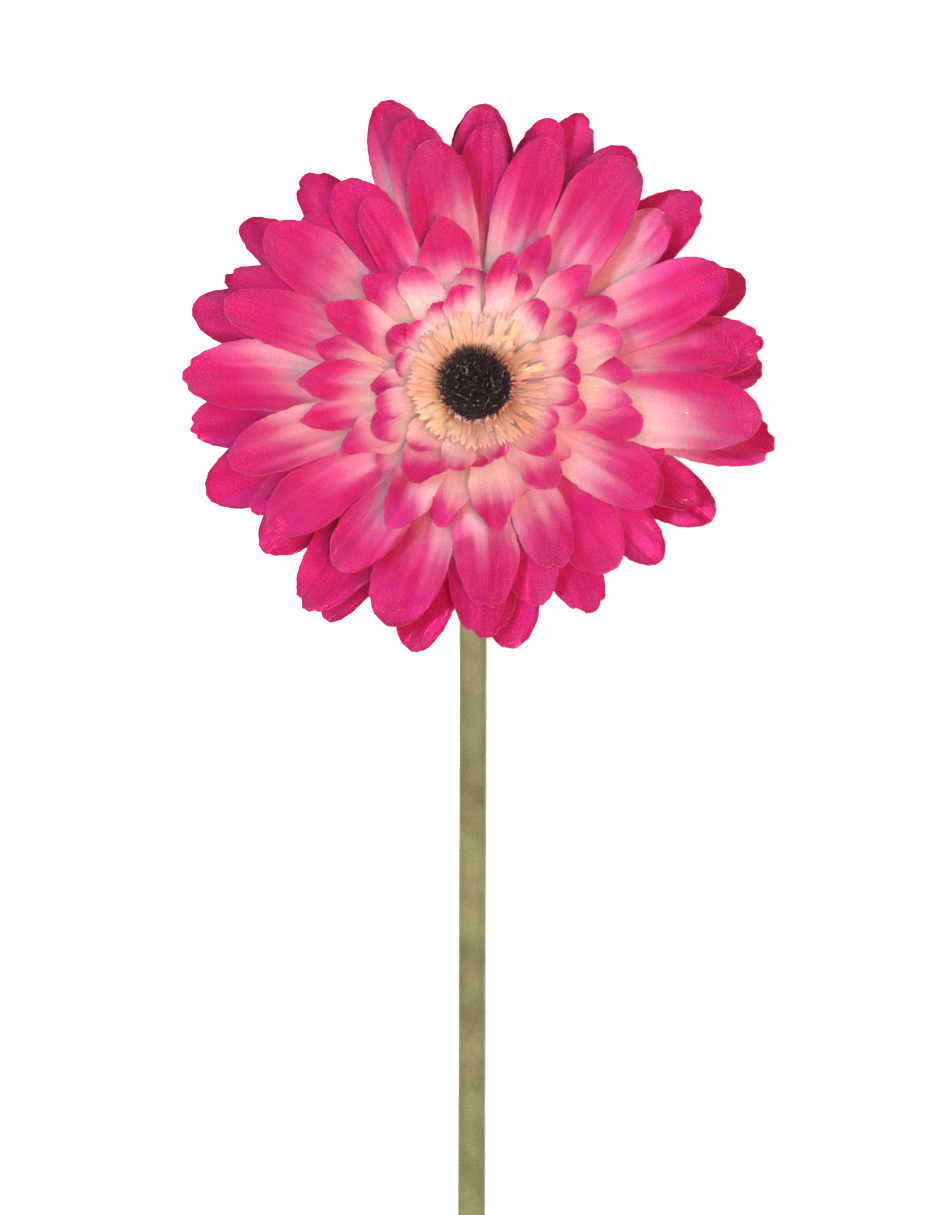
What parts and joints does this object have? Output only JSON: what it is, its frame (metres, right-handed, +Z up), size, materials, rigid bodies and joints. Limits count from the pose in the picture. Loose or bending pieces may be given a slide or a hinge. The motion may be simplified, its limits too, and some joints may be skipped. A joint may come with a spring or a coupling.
{
  "type": "cut gerbera",
  "caption": "Cloth-petalled gerbera head with a cream floret ring and dark pile centre, in a green calyx on a bent cut stem that lies flat.",
  "frame": {"origin": "on the table under the middle of the whole flower's box", "axes": "+Y along the stem from its cut end towards the head, +Z up from the table, +X to the right when looking down with the head at the top"},
  "size_m": [0.1178, 0.4706, 0.0399],
  "materials": {
    "stem_flock": "velvety flocked coat, mottled olive",
    "calyx_green": "moulded, satin",
    "petal_cloth": "fine woven cloth, hot pink fading to white at the root",
    "small_petal_cloth": "fine woven cloth, pale with a pink tip",
    "floret_cream": "soft moulded fringe, cream with salmon shadows",
    "pile_dark": "short dense pile, near black"
  },
  "bodies": {
    "root": {"stem": "stem_flock", "calyx": "calyx_green", "petal_layer_1": "petal_cloth", "petal_layer_2": "petal_cloth", "petal_layer_3": "petal_cloth", "petal_layer_4": "petal_cloth", "petal_layer_5": "small_petal_cloth", "petal_layer_6": "small_petal_cloth", "petal_layer_7": "small_petal_cloth", "petal_layer_8": "small_petal_cloth", "floret_ring": "floret_cream", "pile": "pile_dark"}
  },
  "joints": []
}
